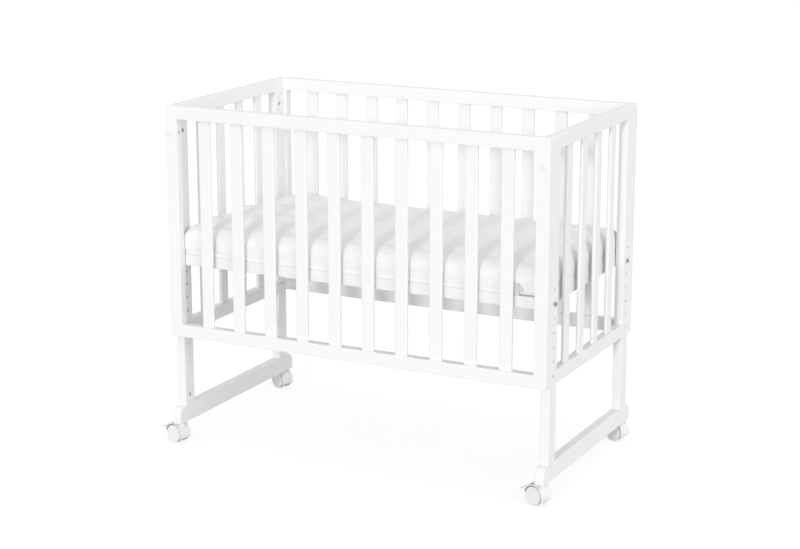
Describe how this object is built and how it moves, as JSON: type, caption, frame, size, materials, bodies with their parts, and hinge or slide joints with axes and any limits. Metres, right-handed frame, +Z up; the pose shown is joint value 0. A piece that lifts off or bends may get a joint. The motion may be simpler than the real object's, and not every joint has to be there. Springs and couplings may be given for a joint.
{
  "type": "bedside sleeper crib",
  "caption": "White slatted bedside crib on wheeled legs, with a removable front panel, a height-adjustable base and a mattress.",
  "frame": {"origin": "on the floor under the centre of the slatted body", "axes": "+X along the crib to the right seen from the front, +Y from the removable front panel to the back, +Z up"},
  "size_m": [1.0007, 0.5356, 0.812],
  "materials": {
    "painted_wood": "smooth satin white paint on solid beech",
    "beech_dowel": "bare fluted beech dowels",
    "base_wood": "satin white paint on solid wood",
    "cap_plastic": "white moulded caps",
    "bolt_steel": "zinc-plated steel bolts",
    "nut_steel": "zinc-plated steel nuts and inserts",
    "socket_plastic": "pale grey nylon sleeves",
    "mattress_cover": "white woven cover over soft filling",
    "label_cloth": "plain grey-blue woven tape, blank",
    "caster_plastic": "white moulded plastic",
    "wheel_plastic": "white moulded plastic, slightly scuffed tread",
    "brake_plastic": "white moulded plastic foot lever",
    "pin_steel": "zinc-plated steel pins"
  },
  "bodies": {
    "frame": {"back_panel_stiles": "painted_wood", "back_panel_top_rail": "painted_wood", "back_panel_bottom_rail": "painted_wood", "back_panel_slats": "painted_wood", "back_panel_bolts": "bolt_steel", "back_panel_bolt_caps": "cap_plastic", "leg_front_left": "painted_wood", "leg_front_right": "painted_wood", "leg_back_left": "painted_wood", "leg_back_right": "painted_wood", "left_end_top_rail": "painted_wood", "left_end_bottom_rail": "painted_wood", "left_foot_rail": "painted_wood", "right_end_top_rail": "painted_wood", "right_end_bottom_rail": "painted_wood", "right_foot_rail": "painted_wood", "end_panel_slats": "painted_wood", "frame_dowels": "beech_dowel", "foot_rail_bolts": "bolt_steel", "barrel_nuts": "nut_steel", "caster_sockets": "socket_plastic"},
    "front_panel": {"front_panel_stiles": "painted_wood", "front_panel_top_rail": "painted_wood", "front_panel_bottom_rail": "painted_wood", "front_panel_slats": "painted_wood", "front_panel_bolts": "bolt_steel", "front_panel_bolt_caps": "cap_plastic", "front_panel_dowels": "beech_dowel"},
    "base": {"base_side_bars": "base_wood", "base_end_bars": "base_wood", "base_slats": "base_wood", "base_dowels": "beech_dowel", "base_insert_nuts": "nut_steel", "base_bolts": "bolt_steel"},
    "mattress": {"mattress": "mattress_cover", "mattress_label": "label_cloth"},
    "caster_front_left": {"caster_front_left_stem": "pin_steel", "caster_front_left_hood": "caster_plastic", "caster_front_left_axle": "pin_steel"},
    "caster_front_left_wheel_a": {"caster_front_left_wheel_a": "wheel_plastic"},
    "caster_front_left_wheel_b": {"caster_front_left_wheel_b": "wheel_plastic"},
    "caster_front_left_brake": {"caster_front_left_brake": "brake_plastic"},
    "caster_front_right": {"caster_front_right_stem": "pin_steel", "caster_front_right_hood": "caster_plastic", "caster_front_right_axle": "pin_steel"},
    "caster_front_right_wheel_a": {"caster_front_right_wheel_a": "wheel_plastic"},
    "caster_front_right_wheel_b": {"caster_front_right_wheel_b": "wheel_plastic"},
    "caster_front_right_brake": {"caster_front_right_brake": "brake_plastic"},
    "caster_back_left": {"caster_back_left_stem": "pin_steel", "caster_back_left_hood": "caster_plastic", "caster_back_left_axle": "pin_steel"},
    "caster_back_left_wheel_a": {"caster_back_left_wheel_a": "wheel_plastic"},
    "caster_back_left_wheel_b": {"caster_back_left_wheel_b": "wheel_plastic"},
    "caster_back_left_brake": {"caster_back_left_brake": "brake_plastic"},
    "caster_back_right": {"caster_back_right_stem": "pin_steel", "caster_back_right_hood": "caster_plastic", "caster_back_right_axle": "pin_steel"},
    "caster_back_right_wheel_a": {"caster_back_right_wheel_a": "wheel_plastic"},
    "caster_back_right_wheel_b": {"caster_back_right_wheel_b": "wheel_plastic"},
    "caster_back_right_brake": {"caster_back_right_brake": "brake_plastic"}
  },
  "joints": [
    {"name": "base_height", "type": "slide", "parent": "frame", "child": "base", "axis": [0, 0, 1], "range_m": [-0.16, 0.032]},
    {"name": "front_panel_removal", "type": "slide", "parent": "frame", "child": "front_panel", "axis": [0, -1, 0], "range_m": [0, 0.3]},
    {"name": "mattress_lift", "type": "slide", "parent": "base", "child": "mattress", "axis": [0, 0, 1], "range_m": [0, 0.45]},
    {"name": "caster_front_left_swivel", "type": "hinge", "parent": "frame", "child": "caster_front_left", "pos_m": [-0.4645, -0.2425, 0.05], "axis": [0, 0, 1], "continuous": true},
    {"name": "caster_front_left_wheel_a_roll", "type": "hinge", "parent": "caster_front_left", "child": "caster_front_left_wheel_a", "pos_m": [-0.47722, -0.2398, 0.022], "axis": [-0.2079, -0.9781, 0], "continuous": true},
    {"name": "caster_front_left_wheel_b_roll", "type": "hinge", "parent": "caster_front_left", "child": "caster_front_left_wheel_b", "pos_m": [-0.47722, -0.2398, 0.022], "axis": [-0.2079, -0.9781, 0], "continuous": true},
    {"name": "caster_front_left_brake_release", "type": "hinge", "parent": "caster_front_left", "child": "caster_front_left_brake", "pos_m": [-0.48934, -0.23722, 0.04531], "axis": [0.2079, 0.9781, 0], "range_deg": [0, 18]},
    {"name": "caster_front_right_swivel", "type": "hinge", "parent": "frame", "child": "caster_front_right", "pos_m": [0.4645, -0.2425, 0.05], "axis": [0, 0, 1], "continuous": true},
    {"name": "caster_front_right_wheel_a_roll", "type": "hinge", "parent": "caster_front_right", "child": "caster_front_right_wheel_a", "pos_m": [0.45207, -0.2387, 0.022], "axis": [-0.2924, -0.9563, 0], "continuous": true},
    {"name": "caster_front_right_wheel_b_roll", "type": "hinge", "parent": "caster_front_right", "child": "caster_front_right_wheel_b", "pos_m": [0.45207, -0.2387, 0.022], "axis": [-0.2924, -0.9563, 0], "continuous": true},
    {"name": "caster_front_right_brake_release", "type": "hinge", "parent": "caster_front_right", "child": "caster_front_right_brake", "pos_m": [0.44022, -0.23508, 0.04531], "axis": [0.2924, 0.9563, 0], "range_deg": [0, 18]},
    {"name": "caster_back_left_swivel", "type": "hinge", "parent": "frame", "child": "caster_back_left", "pos_m": [-0.4645, 0.2425, 0.05], "axis": [0, 0, 1], "continuous": true},
    {"name": "caster_back_left_wheel_a_roll", "type": "hinge", "parent": "caster_back_left", "child": "caster_back_left_wheel_a", "pos_m": [-0.47672, 0.24695, 0.022], "axis": [-0.342, -0.9397, 0], "continuous": true},
    {"name": "caster_back_left_wheel_b_roll", "type": "hinge", "parent": "caster_back_left", "child": "caster_back_left_wheel_b", "pos_m": [-0.47672, 0.24695, 0.022], "axis": [-0.342, -0.9397, 0], "continuous": true},
    {"name": "caster_back_left_brake_release", "type": "hinge", "parent": "caster_back_left", "child": "caster_back_left_brake", "pos_m": [-0.48836, 0.25119, 0.04531], "axis": [0.342, 0.9397, 0], "range_deg": [0, 18]},
    {"name": "caster_back_right_swivel", "type": "hinge", "parent": "frame", "child": "caster_back_right", "pos_m": [0.4645, 0.2425, 0.05], "axis": [0, 0, 1], "continuous": true},
    {"name": "caster_back_right_wheel_a_roll", "type": "hinge", "parent": "caster_back_right", "child": "caster_back_right_wheel_a", "pos_m": [0.45178, 0.2452, 0.022], "axis": [-0.2079, -0.9781, 0], "continuous": true},
    {"name": "caster_back_right_wheel_b_roll", "type": "hinge", "parent": "caster_back_right", "child": "caster_back_right_wheel_b", "pos_m": [0.45178, 0.2452, 0.022], "axis": [-0.2079, -0.9781, 0], "continuous": true},
    {"name": "caster_back_right_brake_release", "type": "hinge", "parent": "caster_back_right", "child": "caster_back_right_brake", "pos_m": [0.43966, 0.24778, 0.04531], "axis": [0.2079, 0.9781, 0], "range_deg": [0, 18]}
  ]
}
